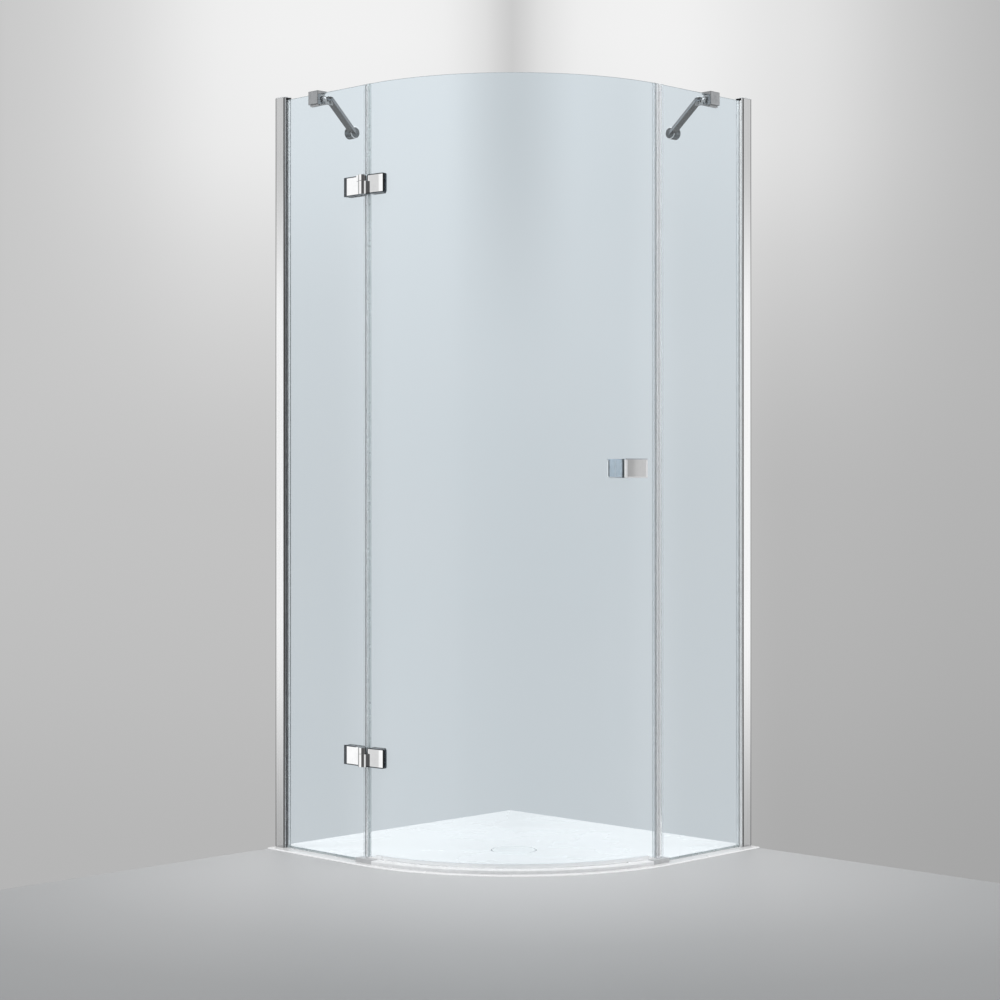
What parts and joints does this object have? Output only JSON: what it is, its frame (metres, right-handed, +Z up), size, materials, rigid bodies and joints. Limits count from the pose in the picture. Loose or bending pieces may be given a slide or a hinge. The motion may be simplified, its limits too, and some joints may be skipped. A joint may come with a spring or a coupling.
{
  "type": "quadrant shower enclosure",
  "caption": "Quadrant corner shower enclosure: low curved-front tray, flat fixed glass panes in wall channels, one curved hinged glass door, top stays and knob handles.",
  "frame": {"origin": "centre of the 900 x 900 square of the tray, on its underside, on the axis of the waste hole", "axes": "+Z up; +X points from the left wall into the room, +Y towards the back wall, so the room corner is at -X +Y and the curved door faces +X -Y"},
  "size_m": [0.9, 0.9, 1.97],
  "materials": {
    "tray_white": "smooth white, low gloss",
    "cover_white": "smooth white",
    "channel_aluminium": "bright polished",
    "cap_chrome": "polished",
    "clear_glass": "clear toughened",
    "grey_rubber": "matt",
    "magnet_dark": "matt flexible magnet",
    "clear_seal": "translucent soft",
    "rail_aluminium": "satin",
    "bush_plastic": "matt",
    "fastener_steel": "plain",
    "stay_chrome": "polished",
    "fitting_chrome": "polished"
  },
  "bodies": {
    "enclosure": {"channel_cap_left": "cap_chrome", "channel_cap_right": "cap_chrome", "channel_lock_screws": "fastener_steel", "glazing_channel_left": "channel_aluminium", "glazing_channel_right": "channel_aluminium", "glazing_gasket_left": "grey_rubber", "glazing_gasket_right": "grey_rubber", "hinge_frame_pads": "grey_rubber", "hinge_frame_screws": "fastener_steel", "hinge_lower_frame_leaf": "fitting_chrome", "hinge_lower_frame_plate": "fitting_chrome", "hinge_pins": "fastener_steel", "hinge_seal_frame": "clear_seal", "hinge_upper_frame_leaf": "fitting_chrome", "hinge_upper_frame_plate": "fitting_chrome", "magnet_bar_frame": "magnet_dark", "magnet_seal_frame": "clear_seal", "rail_end_left": "rail_aluminium", "rail_end_right": "rail_aluminium", "shower_tray": "tray_white", "side_glass_left": "clear_glass", "side_glass_right": "clear_glass", "sill_seal_left": "clear_seal", "sill_seal_right": "clear_seal", "stay_bar_left": "stay_chrome", "stay_bar_pins": "fastener_steel", "stay_bar_right": "stay_chrome", "stay_bracket_left": "stay_chrome", "stay_bracket_pins": "fastener_steel", "stay_bracket_right": "stay_chrome", "stay_clamp_left": "stay_chrome", "stay_clamp_right": "stay_chrome", "stay_foot_left": "fastener_steel", "stay_foot_right": "fastener_steel", "stay_foot_screws": "fastener_steel", "stay_grub_screws": "fastener_steel", "stay_liners": "grey_rubber", "stay_pivot_pins": "fastener_steel", "stay_swivel_left": "stay_chrome", "stay_swivel_right": "stay_chrome", "threshold_rail": "rail_aluminium", "wall_channel_left": "channel_aluminium", "wall_channel_right": "channel_aluminium"},
    "door": {"door_glass": "clear_glass", "drip_seal": "clear_seal", "handle_inner": "fitting_chrome", "handle_outer": "fitting_chrome", "handle_studs": "fastener_steel", "handle_washers": "clear_seal", "hinge_bushes": "bush_plastic", "hinge_door_pads": "grey_rubber", "hinge_door_screws": "fastener_steel", "hinge_lower_door_leaf": "fitting_chrome", "hinge_lower_door_plate": "fitting_chrome", "hinge_seal_door": "clear_seal", "hinge_upper_door_leaf": "fitting_chrome", "hinge_upper_door_plate": "fitting_chrome", "magnet_bar_door": "magnet_dark", "magnet_seal_door": "clear_seal"},
    "drain_cover_body": {"drain_cover": "cover_white"}
  },
  "joints": [
    {"name": "door_hinge", "type": "hinge", "parent": "enclosure", "child": "door", "pos_m": [-0.107, -0.4284, 1.0015], "axis": [0, 0, -1], "range_deg": [0, 135]},
    {"name": "drain_cover_lift", "type": "slide", "parent": "enclosure", "child": "drain_cover_body", "axis": [0, 0, 1], "range_m": [0, 0.15]}
  ]
}
